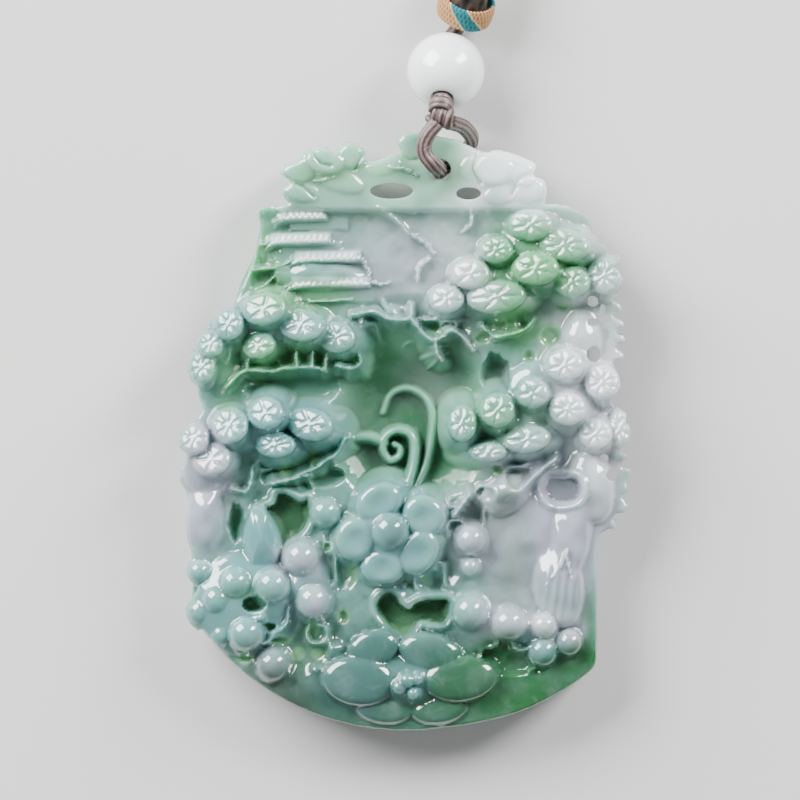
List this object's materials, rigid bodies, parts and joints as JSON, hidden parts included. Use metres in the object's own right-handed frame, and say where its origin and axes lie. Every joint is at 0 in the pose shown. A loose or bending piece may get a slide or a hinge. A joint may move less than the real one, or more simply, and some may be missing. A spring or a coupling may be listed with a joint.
{
  "type": "jade pendant",
  "caption": "Carved jade pendant with a relief of roofs, pine clouds, berries and a blossom under a pierced crown, with a round bead on a braided neck cord, lying on its back.",
  "frame": {"origin": "on the surface under the middle of the plaque, crown and bead, with the neck cord left out", "axes": "+X to the right of the carving, +Y from the rounded foot to the crown and bead, +Z out of the carved face"},
  "size_m": [0.0453, 0.1393, 0.0104],
  "materials": {
    "jade": "polished translucent jade, mint and lavender grey with dark green in the sunk ground",
    "milky_jade": "polished milky jade",
    "satin_cord": "ribbed satin cord, grey brown with a silvery sheen",
    "tan_braid": "tan braid with turquoise bands",
    "dark_braid": "braided dark brown cord"
  },
  "bodies": {
    "root": {"jade_pendant": "jade", "jade_bead": "milky_jade", "hanging_loop": "satin_cord", "loop_knot": "satin_cord", "bead_cord": "satin_cord", "collar_knot": "tan_braid", "cord_stem": "dark_braid", "neck_cord_out": "dark_braid", "neck_cord_back": "dark_braid", "neck_cord_coil": "dark_braid"}
  },
  "joints": []
}
